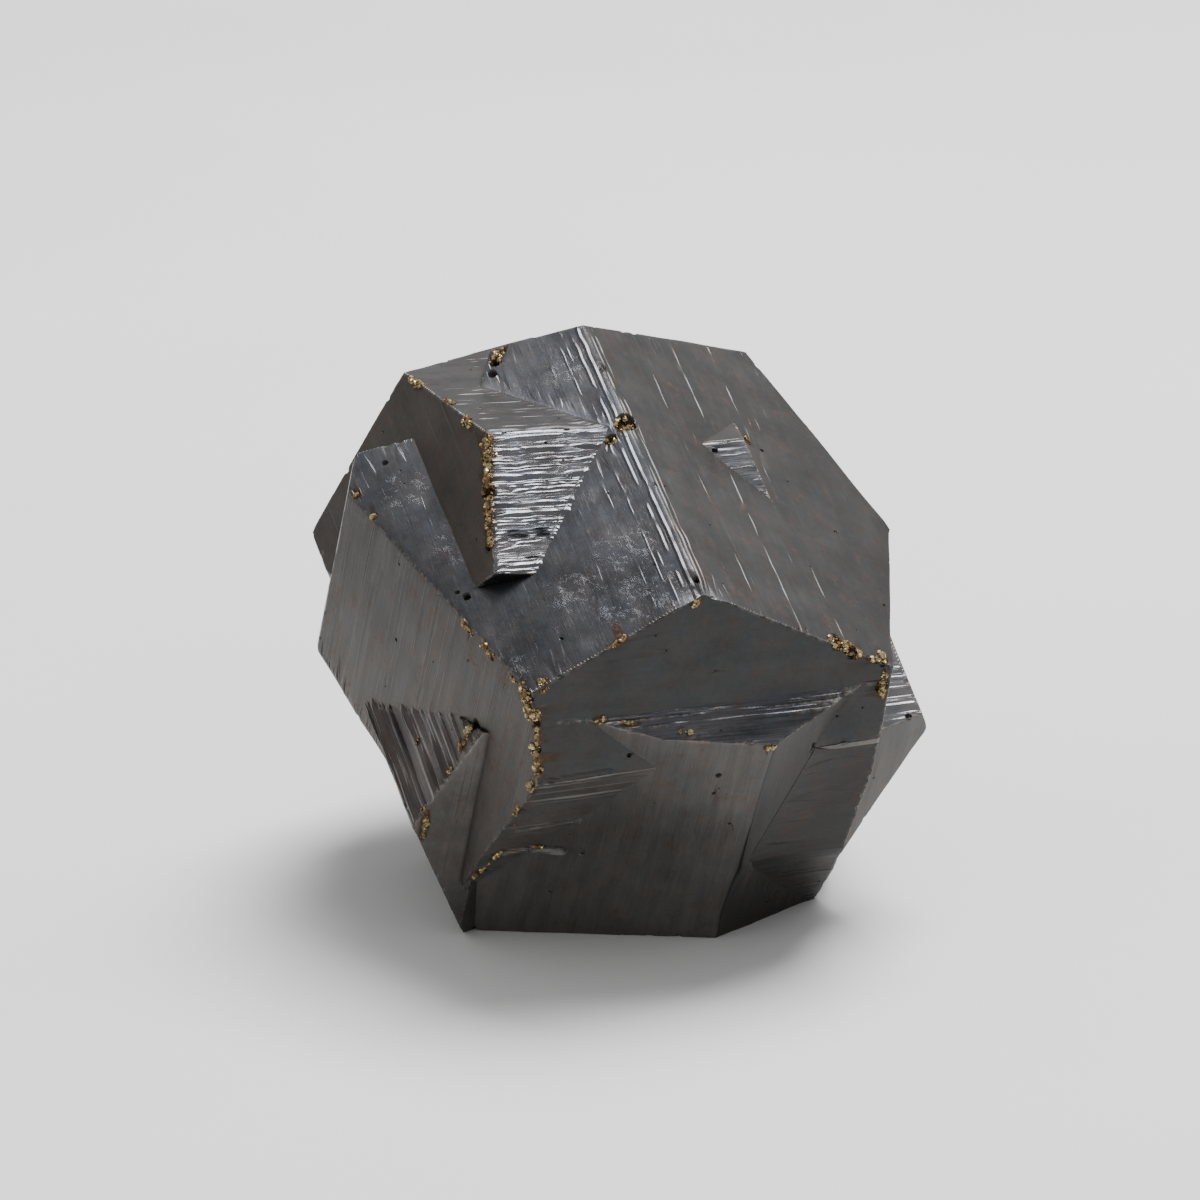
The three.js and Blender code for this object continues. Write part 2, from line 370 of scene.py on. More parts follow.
class Relief:
    """Growth ridges over one face: u runs along them and v across, both in mm. Each ridge rises
    slowly and then falls down a steep flank."""

    CELL = 4.0  # size across the ridges of the slow waves
    SWAY = 0.03  # how far they move a ridge to the side
    SWELL = 0.02  # and how far they lift the surface

    def __init__(self, rng, face, low, high, span):
        v = low - 1
        lines, tops, steady = [v], [0.0], [face.steady]
        while v < high + 1:
            band_width, pitch, height = face.band
            bold = rng.random() < 0.75
            if v < high - band_width:
                pitch, height = face.pitch, face.height
                bold = rng.random() < face.share * math.exp(-max(0, high - v) / face.fade)
            width = pitch * rng.uniform(0.4, 1.0) * rng.choice([1, 1, 2])
            top = height * rng.uniform(0.5, 1.5) * (1.0 if bold else 0.12)
            flank = min(0.45 * width, max(0.05, top / FLANK))
            lines += [v + width - flank, v + width]
            tops += [top, 0.0]
            steady += [0.7 if v > high - band_width else face.steady] * 2
            v += width
        self.lines = np.array(lines)
        self.tops = np.array(tops)
        self.run = face.run
        self.start = span[0] - 2 * self.run
        knots = int((span[1] - span[0]) / self.run) + 6
        steady = np.array(steady)[:, None]
        loose = rng.normal(0, 1, (len(lines), knots)) * (1.05 - 0.75 * steady)
        self.gain = np.clip(steady + 0.25 * rng.normal(0, 1, (len(lines), 1)) + loose, 0.0, 1.8)
        self.wave = rng.normal(0, 1, (knots, int((high - low) / self.CELL) + 6))
        self.low = low - 2 * self.CELL

    def along(self, u):
        t = (u - self.start) / self.run
        i = np.clip(np.floor(t).astype(int), 0, self.gain.shape[1] - 2)
        return i, smooth(np.clip(t - i, 0, 1))

    def swell(self, u, v):
        """Slow waves, from about -1 to 1."""
        i, f = self.along(u)
        s = np.clip((v - self.low) / self.CELL, 0, self.wave.shape[1] - 1.001)
        j = np.floor(s).astype(int)
        g = smooth(s - j)
        w = self.wave
        near = w[i, j] * (1 - f) + w[i + 1, j] * f
        far = w[i, j + 1] * (1 - f) + w[i + 1, j + 1] * f
        return near * (1 - g) + far * g

    def sway(self, u, v):
        """How far a ridge line that starts at v has moved across at u."""
        return self.SWAY * self.swell(u, v)

    def top(self, k, u):
        i, f = self.along(u)
        return self.tops[k] * (self.gain[k, i] * (1 - f) + self.gain[k, i + 1] * f)

    def at(self, u, v):
        w = v - self.sway(u, v)
        k = np.clip(np.searchsorted(self.lines, w) - 1, 0, len(self.lines) - 2)
        t = np.clip((w - self.lines[k]) / (self.lines[k + 1] - self.lines[k]), 0, 1)
        ridge = self.top(k, u) * (1 - t) + self.top(k + 1, u) * t
        return ridge + self.SWELL * self.swell(u * 0.7 + 3, v)


# ---------------- points and lines


def distances(points, a, b):
    """Distances from each point to each segment, in the plane or in space."""
    d = b - a
    t = np.einsum("psk,sk->ps", points[:, None] - a[None], d) / np.maximum((d * d).sum(1), 1e-12)
    near = a[None] + np.clip(t, 0, 1)[..., None] * d[None]
    return norm(points[:, None] - near, axis=2)


def in_parts(function, points, size=3000):
    parts = range(0, max(1, len(points)), size)
    return np.concatenate([function(points[k : k + size]) for k in parts])


def stretches_inside(a, b, v):
    """The stretches of the line at v that lie inside the outline with edges a to b."""
    low, high = np.minimum(a[:, 1], b[:, 1]), np.maximum(a[:, 1], b[:, 1])
    hit = (low <= v) & (high > v)
    t = (v - a[hit, 1]) / (b[hit, 1] - a[hit, 1])
    us = np.sort(a[hit, 0] + t * (b[hit, 0] - a[hit, 0]))
    return list(zip(us[::2], us[1::2]))


def is_inside(points, a, b):
    """Which points lie inside the outline with edges a to b."""
    u, v = points[:, :1], points[:, 1:]
    crosses = (a[None, :, 1] <= v) != (b[None, :, 1] <= v)
    rise = np.where(a[:, 1] == b[:, 1], 1.0, b[:, 1] - a[:, 1])
    where = a[None, :, 0] + (v - a[None, :, 1]) * ((b[:, 0] - a[:, 0]) / rise)[None]
    return (crosses & (u < where)).sum(1) % 2 == 1


def ring(a, b, reach, phase):
    """Points in order round the line from a to b, all at one distance from it."""
    length = norm(b - a)
    ahead = (b - a) / length if length > 1e-6 else np.array([1.0, 0.0])
    aside = np.array([-ahead[1], ahead[0]])
    turns = max(4, round(math.pi * reach / 0.17))
    angles = math.pi * (np.arange(turns) + phase)[:, None] / turns
    swing = reach * (np.sin(angles) * ahead - np.cos(angles) * aside)
    steps = np.arange(0.2, length - 0.1, 0.25)[:, None]
    back, forth = b - ahead * steps + aside * reach, a + ahead * steps - aside * reach
    return np.concatenate([b + swing, back, a - swing, forth])


# ---------------- pits, chips and grooves


class Dents:
    """Hollows, each round a point or a line from a to b that lies on the surface."""

    def __init__(self, corners, faces):
        self.triangles = [t for f in faces for t in f.triangles]
        self.tree = BVHTree.FromPolygons(corners.tolist(), self.triangles)
        self.items = []

    # dark is how much painted shade the hollow gets in the colour.
    def add(self, a, b, radius, depth, dark=1.0):
        a, b = (np.array(self.tree.find_nearest(Vector(p))[0]) for p in (a, b))
        middle = self.tree.find_nearest(Vector((a + b) / 2))[0]
        near = self.tree.find_nearest_range(middle, max(0.12, 0.5 * radius))
        normals = {tuple(round(c, 3) for c in hit[1]) for hit in near}
        self.items.append((a, b, radius, depth, dark, unit(np.sum(list(normals), axis=0))))

    def is_clear(self, place, radius):
        for a, b, r, *_ in self.items:
            if distances(place[None], a[None], b[None])[0, 0] < 1.3 * (radius + r):
                return False
        return True

    def shift(self, points):
        """How far each point is pushed in, and how much painted shade it gets from a hollow near it, from 0
        to 1.
        """
        moved = np.zeros_like(points)
        close = np.zeros(len(points))
        for a, b, radius, depth, dark, out in self.items:
            limit = 1.7 * radius + norm(b - a)
            near = np.flatnonzero(norm(points - (a + b) / 2, axis=1) < limit)
            if not len(near):
                continue
            p = points[near]
            ragged = 1 + 0.22 * wander(p, 0.7 * radius)
            r = distances(p, a[None], b[None])[:, 0] / (radius * ragged)
            fall = depth * np.clip(1 - r**2.2, 0, 1) * (1 + 0.3 * wander(p, 0.25))
            moved[near] -= fall[:, None] * out
            close[near] = np.maximum(close[near], np.clip((1.15 - r) / 0.45, 0, 1) * dark)
        return moved, close


def make_dents(rng, corners, faces):
    """The listed hollows, then small random pits everywhere and chips along the outward edges."""
    dents = Dents(corners, faces)
    for place, radius, depth in PITS:
        dents.add(place, place, radius, depth)
    for a, b, radius, depth in GROOVES:
        dents.add(a, b, radius, depth, 0.2)
    flat = corners[np.array(dents.triangles)]
    areas = norm(np.cross(flat[:, 1] - flat[:, 0], flat[:, 2] - flat[:, 0]), axis=1)
    for k in rng.choice(len(flat), SMALL_PITS, p=areas / areas.sum()):
        s, t = np.sort(rng.random(2))
        place = flat[k, 0] * s + flat[k, 1] * (t - s) + flat[k, 2] * (1 - t)
        radius = rng.uniform(0.05, 0.09) if rng.random() < 0.85 else rng.uniform(0.09, 0.15)
        if dents.is_clear(place, radius):
            dents.add(place, place, radius, radius * rng.uniform(0.7, 1.1))
    edges = {tuple(sorted((a, b))) for f in faces for a, b, other, angle in f.outline if angle > OUTWARD}
    edges = sorted(edges)
    lengths = np.array([norm(corners[a] - corners[b]) for a, b in edges])
    for k in rng.choice(len(edges), CHIPS, p=lengths / lengths.sum()):
        a, b = edges[k]
        place = corners[a] + (corners[b] - corners[a]) * rng.uniform(0.04, 0.96)
        radius = rng.uniform(0.10, 0.34)
        if dents.is_clear(place, radius):
            dents.add(place, place, radius, radius * rng.uniform(0.25, 0.5), rng.uniform(0.0, 0.5))
    return dents


# ---------------- the fine surface


def build_crystal():
    """The fine surface, and the list of the golden spots."""
    rng = np.random.default_rng(SEED)
    corners, faces = cad_faces(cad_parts["twin_crystal"])
    name_faces(rng, corners, faces)
    edge_points, sides, split = split_edges(corners, faces)
    dents = make_dents(rng, corners, faces)

    base, lifts = [edge_points], [edge_lifts(faces, sides, edge_points)]
    crests = [np.zeros(len(edge_points))]
    total = len(edge_points)
    triangles, owner, grain = [], [], []
    for i, f in enumerate(faces):
        chains = [split[(a, b)] for a, b, other, angle in f.outline]
        inner, lines = inner_points(rng, f, edge_points, chains, dents)
        border, every, mesh = triangulate(f, corners, edge_points, chains, inner, lines)
        number = np.concatenate([np.array(border), total + np.arange(len(inner))])
        for t in mesh:
            triangles.append([int(number[c]) for c in t])
            owner.append(i)
            grain.append([every[c] for c in t])
        height = in_parts(lambda q: lift(f, q), inner)
        base.append(unflatten(f, inner))
        lifts.append(height[:, None] * f.normal)
        # The highest ridges of one finish get painted highlights on their crests.
        bright = f.look.finish == HIGHLIGHTED_RIDGES
        crests.append(np.clip(f.relief.at(inner[:, 0], inner[:, 1]) / 0.02 - 0.4, 0, 3) * bright)
        total += len(inner)
    base = np.concatenate(base)
    # hollow: painted shade in and near the pits, chips and grooves.
    dented, hollow = dents.shift(base)
    moved = base + np.concatenate(lifts) + dented
    moved[:, 2] = np.maximum(moved[:, 2], 0.0)

    gold = GOLD + far_gold(rng, corners, faces)
    data = bpy.data.meshes.new("twin")
    data.from_pydata((moved * MM).tolist(), [], triangles)
    finishes = sorted({f.look.finish for f in faces})
    for name in finishes:
        data.materials.append(patina(name))
    slots = np.array([finishes.index(faces[i].look.finish) for i in owner], np.int32)
    data.polygons.foreach_set("material_index", slots)
    data.uv_layers.new(name="grain").data.foreach_set("uv", np.array(grain, np.float32).reshape(-1))
    mark_surface(data, base, corners, faces, hollow, np.concatenate(crests), gold)
    data.polygons.foreach_set("use_smooth", np.ones(len(triangles), bool))
    data.update()
    data.set_sharp_from_angle(angle=math.radians(SHARP))
    return new_object("crystal_surface", data), gold


def new_object(name, data):
    obj = bpy.data.objects.new(name, data)
    bpy.context.scene.collection.objects.link(obj)
    return obj


def name_faces(rng, corners, faces):
    """Gives each face its name, look, directions along and across the ridges, height and relief."""
    for f in faces:
        f.name = name_of(f.normal, corners[f.triangles[0][0]])
        f.look = FACES.get(f.name, PLAIN)
        f.u, f.v = ridge_axes(f.normal)
        f.height = float(np.mean((corners[[t[0] for t in f.triangles]] - MIDDLE) @ f.normal))
        q = flatten(f, corners[sorted({i for t in f.triangles for i in t})])
        (u0, v0), (u1, v1) = q.min(0), q.max(0)
        f.relief = Relief(rng, f.look, v0, v1, (u0, u1))


def split_edges(corners, faces):
    """Points along every edge, shared by the faces on both sides; the faces that each point lies on;
    and for each edge, both ways, the chain of its points."""
    points = list(corners)
    sides = [set() for _ in corners]
    split = {}
    for i, f in enumerate(faces):
        for a, b, other, angle in f.outline:
            sides[a].update((i, other))
            sides[b].update((i, other))
            if (b, a) in split:
                continue
            count = max(1, round(norm(corners[b] - corners[a]) / STEP))
            chain = [a]
            for k in range(1, count):
                chain.append(len(points))
                points.append(corners[a] + (corners[b] - corners[a]) * k / count)
                sides.append({i, other})
            split[(a, b)] = chain + [b]
            split[(b, a)] = split[(a, b)][::-1]
    return np.array(points), sides, split


def triangulate(f, corners, edge_points, chains, inner, lines):
    """The border points of a face, its points as (u, v), border ones first, and its triangles."""
    loop = [e for chain in chains for e in zip(chain[:-1], chain[1:])]
    border = sorted({p for e in loop for p in e})
    every = np.concatenate([flatten(f, edge_points[border]), inner])
    place = {p: k for k, p in enumerate(border)}
    fences = [(place[a], place[b]) for a, b in loop]
    wanted = fences + [(a + len(border), b + len(border)) for a, b in lines]
    squeezed = [Vector((q[0] / STRETCH, q[1])) for q in every]
    out = delaunay_2d_cdt(squeezed, wanted, [], 1, 1e-7)
    origin = [o[0] if o else -1 for o in out[3]]
    if min(origin) < 0:
        raise ValueError("two lines cross on the face " + f.name)
    mesh = [[origin[c] for c in t] for t in out[2]]
    return border, every, keep_inside(mesh, {tuple(sorted(e)) for e in fences}, every, f, corners)


def far_gold(rng, corners, faces):
    """Golden spots in inward seams of the far side, listed like GOLD."""
    edges = [e for f in faces for e in f.outline]
    seams = [(corners[a], corners[b]) for a, b, other, angle in edges if angle < INWARD]
    seams = [(a, b) for a, b in seams if a[1] > 2 and b[1] > 2 and norm(b - a) > 1.5]
    spots = []
    for k in rng.choice(len(seams), FAR_GOLD, replace=False):
        a, b = seams[k]
        length = min(rng.uniform(0.5, 2.5), 0.8 * norm(b - a))
        start = a + (b - a) * rng.uniform(0, 1 - length / norm(b - a))
        width = rng.uniform(0.08, 0.26)
        spots.append((start, start + unit(b - a) * length, width, round(6 + 60 * length * width)))
    return spots


def flatten(f, points):
    """Points of the frame as (u, v) on a face."""
    return np.stack([(points - MIDDLE) @ f.u, (points - MIDDLE) @ f.v], 1)


def unflatten(f, q):
    return MIDDLE + q[:, :1] * f.u + q[:, 1:] * f.v + f.height * f.normal


def wear_of(faces, f, other, angle):
    """The reach and the depth of an edge's wear, how uneven that is, and whether it is chipped."""
    pair = tuple(sorted((f.name, faces[other].name)))
    if pair in ROUNDED and (ROUNDED[pair][1] > 0) == (angle > 0):
        return (*ROUNDED[pair], 0.0)
    return (*WORN, 0.0, 1.0) if angle > CHIPPED else (0.01, 0.0, 0.0, 0.0)


def lift(f, q):
    """How far the surface stands over the flat face: ridges, less the wear along the edges."""
    a, b, wear = f.edges
    d = distances(q, a, b)
    worn = wear[None, :, 1] * np.clip(1 - d / wear[None, :, 0], 0, 1) ** 2
    places = unflatten(f, q)
    chipped = (worn * wear[None, :, 3]).max(1)
    even = worn * (1 - wear[None, :, 3]) * (1 + wear[None, :, 2] * wander(places, 3.0)[:, None])
    even = even.max(1) + even.min(1)
    uneven = np.clip(1 + 0.9 * wander(places, 2.2) + 0.5 * wander(places, 0.7), 0.15, 3)
    soft = np.where(wear[None, :, 0] > SOFT, d, FADE).min(1)
    ridges = f.relief.at(q[:, 0], q[:, 1]) * smooth(np.clip(soft / FADE, 0, 1))
    return ridges - chipped * uneven - even


def edge_lifts(faces, sides, edge_points):
    """Moves for the points on the edges that lift each of the faces they lie on by its own height."""
    heights = [dict() for _ in edge_points]
    for i, f in enumerate(faces):
        outline = [(a, b, wear_of(faces, f, other, angle)) for a, b, other, angle in f.outline]
        a, b = (edge_points[[e[k] for e in outline]] for k in (0, 1))
        wear = [e[2] for e in outline]
        for place, reach, depth, flat in CORNERS:
            if abs((place - MIDDLE) @ f.normal - f.height) < 0.3 * reach and f.name != flat:
                a, b = (np.concatenate([ends, [place]]) for ends in (a, b))
                wear.append((reach, depth, 0.0, 0.0))
        f.edges = (flatten(f, a), flatten(f, b), np.array(wear))
        mine = [k for k, s in enumerate(sides) if i in s]
        for k, h in zip(mine, in_parts(lambda q: lift(f, q), flatten(f, edge_points[mine]))):
            heights[k][i] = h
    moves = np.zeros_like(edge_points)
    for k, wanted in enumerate(heights):
        n = np.array([faces[i].normal for i in wanted])
        h = np.array(list(wanted.values()))
        moves[k] = n.T @ np.linalg.solve(n @ n.T + GIVE * np.eye(len(h)), h)
    return moves


def inner_points(rng, f, edge_points, chains, dents):
    """Points inside a face, and the lines between them: along the ridges, round the dents and beside
    the outline edges that cross the ridges."""
    spread = Spread(f, dents)
    spread.ridges(rng)
    spread.borders(edge_points, chains)
    spread.rings(rng)
    return np.array(spread.points).reshape(-1, 2), spread.lines


class Spread:
    """The points and lines laid out on one face so far, and what further ones must keep clear of."""

    def __init__(self, f, dents):
        self.face = f
        self.a, self.b, _ = f.edges
        lengths = norm(self.b - self.a, axis=1)
        self.crossing = np.abs((self.b - self.a)[:, 0]) < 0.9 * lengths
        n, height = f.normal, f.height
        self.near = [d for d in dents.items if abs(((d[0] + d[1]) / 2 - MIDDLE) @ n - height) < 0.8 * d[2]]
        ends = (np.array([d[k] for d in self.near]).reshape(-1, 3) for k in (0, 1))
        self.near_a, self.near_b = (flatten(f, e) for e in ends)
        self.reach = np.array([d[2] * 1.2 for d in self.near])
        self.points, self.lines = [], []

    def is_free(self, q, other=None):
        """Which points lie outside every dent, or outside every one but the given one."""
        free = distances(q, self.near_a, self.near_b) > self.reach
        if other is not None:
            free[:, other] = True
        return free.all(1)

    def is_open(self, p, q, room):
        """Which of the lines from p to q stay outside every dent and at a distance from the edges."""
        between = (p[:, None] * (1 - STEPS) + q[:, None] * STEPS).reshape(-1, 2)
        clear = self.is_free(between) & (self.to_edges(between) > room).all(1)
        clear = clear.reshape(-1, len(STEPS)).all(1)
        for ends in (self.near_a, self.near_b):
            clear &= (distances(ends, p, q) > self.reach[:, None]).all(0)
        return clear

    def to_edges(self, q):
        return distances(q, self.a, self.b)

    def is_within(self, q, room=0.05):
        """Which points lie inside the outline and at a distance from it."""
        return is_inside(q, self.a, self.b) & (self.to_edges(q).min(1) > room)

    def add(self, row, keep):
        """Lays out the kept points of a row, and says what number each of them has."""
        number = len(self.points) + np.cumsum(keep) - 1
        self.points += list(row[keep])
        return number

    def link(self, number, linked):
        """Draws a line from each linked point of a row to the next one."""
        after = np.roll(number, -1)
        self.lines += [(int(number[k]), int(after[k])) for k in np.flatnonzero(linked)]

    def ridges(self, rng):
        """Rows along the feet and the crests of the ridges."""
        corner_places = flatten(self.face, np.array([c[0] for c in CORNERS]))
        relief = self.face.relief
        apart = np.where(self.crossing, ROW + 0.07, 0.13)
        room = np.where(self.crossing, ROW + 0.02, 0.04)
        for line in relief.lines:
            for u0, u1 in stretches_inside(self.a, self.b, line):
                if u1 - u0 < 2 * ENDS[0] + 0.14:
                    continue
                ends = ENDS[ENDS < (u1 - u0) / 2 - 0.06]
                span = u1 - u0 - 2 * ends[-1]
                step = min(RUN, 0.5 * relief.run)
                for place, (_, rounded, *_) in zip(corner_places, CORNERS):
                    if abs(line - place[1]) < rounded and u0 - 0.1 < place[0] < u1 + 0.1:
                        step = NEAR_RUN
                count = int(span / step) if len(ends) == len(ENDS) else 0
                middle = u0 + ends[-1] + span * np.arange(1, count + 1) / (count + 1)
                middle += rng.uniform(-0.2, 0.2, count) * span / (count + 1)
                us = np.concatenate([u0 + ends, middle, (u1 - ends)[::-1]])
                row = np.stack([us, line + relief.sway(us, np.full(len(us), line))], 1)
                keep = (self.to_edges(row) > apart).all(1) & self.is_free(row)
                number = self.add(row, keep)
                self.link(number, keep[:-1] & keep[1:] & self.is_open(row[:-1], row[1:], room))

    def borders(self, edge_points, chains):
        """Two rows inside the outline, so that an edge can be worn round."""
        for m, chain in enumerate(chains):
            ends = flatten(self.face, edge_points[chain])
            middles = (ends[:-1] + ends[1:]) / 2
            along = unit(ends[-1] - ends[0])
            inward = np.array([-along[1], along[0]])
            close = middles + inward * FIRST_ROW
            self.add(close, self.is_free(close) & self.is_within(close))
            row = middles[1::2] + inward * ROW
            if not len(row):
                continue
            away = self.to_edges(row)
            away[:, m] = ROW
            apart = np.full(len(self.a), 0.05)
            if self.crossing[m]:
                apart = np.where(self.crossing, ROW + 0.003, apart)
            apart[m] = 0
            keep = self.is_free(row) & is_inside(row, self.a, self.b) & (away > apart).all(1)
            number = self.add(row, keep)
            if self.crossing[m]:
                self.link(number, keep[:-1] & keep[1:] & self.is_open(row[:-1], row[1:], apart))

    def rings(self, rng):
        """Rings in the dents, joined up where nothing is in the way."""
        for k, (dent, p, q) in enumerate(zip(self.near, self.near_a, self.near_b)):
            middles = np.linspace(p, q, 1 + int(norm(q - p) / 0.25))
            self.add(middles, self.is_within(middles))
            count = max(2, round(dent[2] / 0.13))
            for j in range(count + 1):
                circle = ring(p, q, 1.12 * dent[2] * (j + 0.4) / (count + 0.4), rng.uniform(0.1, 0.9))
                after = np.roll(circle, -1, 0)
                halfway = (circle + after) / 2
                clear = self.is_within(halfway, 0.04) & self.is_free(halfway, k)
                clear &= self.is_free(circle, k) & self.is_free(after, k)
                keep = self.is_within(circle)
                self.link(self.add(circle, keep), keep & np.roll(keep, -1) & clear)


def edges_of(t):
    return [tuple(sorted(e)) for e in ((t[0], t[1]), (t[1], t[2]), (t[2], t[0]))]


def keep_inside(mesh, fences, every, f, corners):
    """Of the triangles, those in the patches that the face covers. A patch ends at the outline."""
    by_edge = {}
    for k, t in enumerate(mesh):
        for e in edges_of(t):
            by_edge.setdefault(e, []).append(k)
    coarse_a = flatten(f, corners[[e[0] for e in f.outline]])
    coarse_b = flatten(f, corners[[e[1] for e in f.outline]])
    seen = set()
    kept = []
    for k in range(len(mesh)):
        if k in seen:
            continue
        seen.add(k)
        members = [k]
        for m in members:
            for e in edges_of(mesh[m]):
                if e not in fences:
                    fresh = [g for g in by_edge[e] if g not in seen]
                    seen.update(fresh)
                    members += fresh
        a, b, c = (every[[mesh[m][j] for m in members]] for j in range(3))
        areas = np.abs((b - a)[:, 0] * (c - a)[:, 1] - (b - a)[:, 1] * (c - a)[:, 0])
        widest = int(np.argmax(areas))
        centre = (a[widest] + b[widest] + c[widest]) / 3
        if is_inside(centre[None], coarse_a, coarse_b)[0]:
            kept += [mesh[m] for m in members]
    return kept


def nearness(points, a, b, reach, weights=1):
    """The weight of a segment on it, falling to 0 at its reach."""

    def mark(q):
        return (np.clip(1 - distances(q, a, b) / reach, 0, 1) * weights).max(1)

    return in_parts(mark, points)


def edge_marks(base, corners, faces, least, most, reach):
    """Nearness to the edges, full where the angle is at the most and none where it is at the least."""
    edges = []
    for f in faces:
        for a, b, other, angle in f.outline:
            pair = tuple(sorted((f.name, faces[other].name)))
            filled = pair in ROUNDED and ROUNDED[pair][1] < 0
            weight = (angle - least) / (most - least)
            if most < 0 and pair in SHADED_SEAMS:
                weight = 0.9
            if a < b and weight > 0.05 and not filled:
                edges.append((a, b, min(1, weight)))
    a, b = (corners[[e[k] for e in edges]] for k in (0, 1))
    return nearness(base, a, b, reach, np.array([e[2] for e in edges]))


def mark_surface(data, base, corners, faces, hollow, crests, gold):
    """Colour attribute "marks": red for wear and painted highlight near outward edges and on highlighted
    crests, green for painted shade near inward seams and in hollows and for dark blotches, blue where the
    surface glints, and alpha where it is stained."""
    # Wear and painted highlight near outward edges, and painted highlights on the highlighted crests.
    worn = np.maximum(edge_marks(base, corners, faces, OUTWARD, KEEN, 0.14), crests)
    seams = edge_marks(base, corners, faces, INWARD, DEEP, 0.35)
    places = np.array([g[0] for g in GLINTS])
    glints = nearness(base, places, places, np.array([g[1] for g in GLINTS]))
    a, b = (np.array([g[k] for g in gold]) for k in (0, 1))
    stains = nearness(base, a, b, np.array([g[2] + 0.30 for g in gold]))
    blotches = np.zeros(len(base))
    for place, radius, strength in BLOTCHES:
        close = np.clip(1 - norm(base - place, axis=1) / radius, 0, 1)
        close = smooth(np.clip(close * (1.5 + 0.8 * wander(base, 0.5)), 0, 1))
        blotches = np.maximum(blotches, strength * close)
    # Painted shade in the seams and hollows, and the dark blotches.
    dark = np.maximum(np.maximum(0.6 * seams, blotches), hollow)
    marks = np.stack([worn, dark, glints, stains], 1)
    layer = data.attributes.new("marks", "FLOAT_COLOR", "POINT")
    layer.data.foreach_set("color", marks.astype(np.float32).reshape(-1))


# ---------------- materials


class Finish(NamedTuple):
    """The look of a face: its colour, how much its fine lines and its large patches vary, the share
    that is rusty, the roughness, the depth of the fine lines, and how strong the small glints are.
    Some get painted shading that scales their colour with height."""

    colour: tuple
    lines: float
    clouds: float
    rust: float
    rough: float
    brush: float
    glint: float
    height_shading: tuple = ()  # painted shading: from this height to that one, and to what share of its colour


# The colours were set face by face: partly the crystal's own tones and partly painted light and shade.
FINISHES = {
    "taupe": Finish((0.045, 0.044, 0.0439), 0.1, 0.15, 0.35, 0.4, 0.2, 0.03),
    "slate": Finish((0.04, 0.0388, 0.04), 0.3, 0.25, 0.2, 0.36, 0.45, 0.15),
    "blue": Finish((0.067, 0.069, 0.0765), 0.12, 0.32, 0.1, 0.33, 0.2, 0.22, (33, 22, 0.58)),
    "olive": Finish((0.046, 0.042, 0.0375), 0.45, 0.25, 0.45, 0.44, 0.6, 0.1, (12, 25, 0.46)),
    "pale": Finish((0.075, 0.0725, 0.07), 0.25, 0.15, 0.15, 0.42, 0.4, 0.05),
    "dusky": Finish((0.0325, 0.0327, 0.0329), 0.12, 0.3, 0.12, 0.42, 0.2, 0.06),
    # Lighter, as painted light, for faces that lie in shadow.
    "ash": Finish((0.095, 0.09, 0.084), 0.2, 0.3, 0.3, 0.46, 0.4, 0.1),
    "bright": Finish((0.097, 0.099, 0.109), 0.3, 0.3, 0.1, 0.22, 0.7, 0.3),
    "steel": Finish((0.14, 0.14, 0.147), 0.3, 0.25, 0.1, 0.32, 0.6, 0.2),
    "umber": Finish((0.052, 0.046, 0.041), 0.2, 0.3, 0.35, 0.46, 0.4, 0.2),
    # Painted shadow under the block's overhang.
    "shade": Finish((0.014, 0.012, 0.011), 0.2, 0.2, 0.1, 0.6, 0.4, 0.0),
    "rib": Finish((0.062, 0.056, 0.053), 0.5, 0.3, 0.35, 0.38, 0.8, 0.2),
    "ink": Finish((0.052, 0.053, 0.06), 0.85, 0.25, 0.15, 0.3, 0.4, 0.2),
    "silver": Finish((0.08, 0.08, 0.086), 0.25, 0.3, 0.1, 0.36, 0.6, 0.2),
    # Lighter, and lighter still lower down, as painted light on faces that lie in shadow.
    "soot": Finish((0.083, 0.08, 0.076), 0.3, 0.18, 0.3, 0.44, 0.6, 0.03, (9, 2, 1.45)),
    "band": Finish((0.03, 0.0288, 0.028), 0.2, 0.18, 0.25, 0.42, 0.4, 0.03),
    "plain": Finish((0.064, 0.06, 0.056), 0.3, 0.3, 0.4, 0.42, 0.5, 0.2),
}
RUST = (0.085, 0.036, 0.020, 1)
# Painted shade in seams and hollows, and the colour of the dark blotches.
DARK_SHADE_AND_STAIN = (0.012, 0.010, 0.008, 1)
STAIN, AMBER = (0.034, 0.019, 0.011, 1), (0.120, 0.074, 0.032, 1)
# Lighter colour of edges: wear and painted highlight.
EDGE_WEAR_AND_HIGHLIGHT = (0.26, 0.235, 0.20, 1)
WARM, COOL = (1.06, 0.99, 0.95, 1), (0.96, 1.00, 1.03, 1)
METAL = 0.85


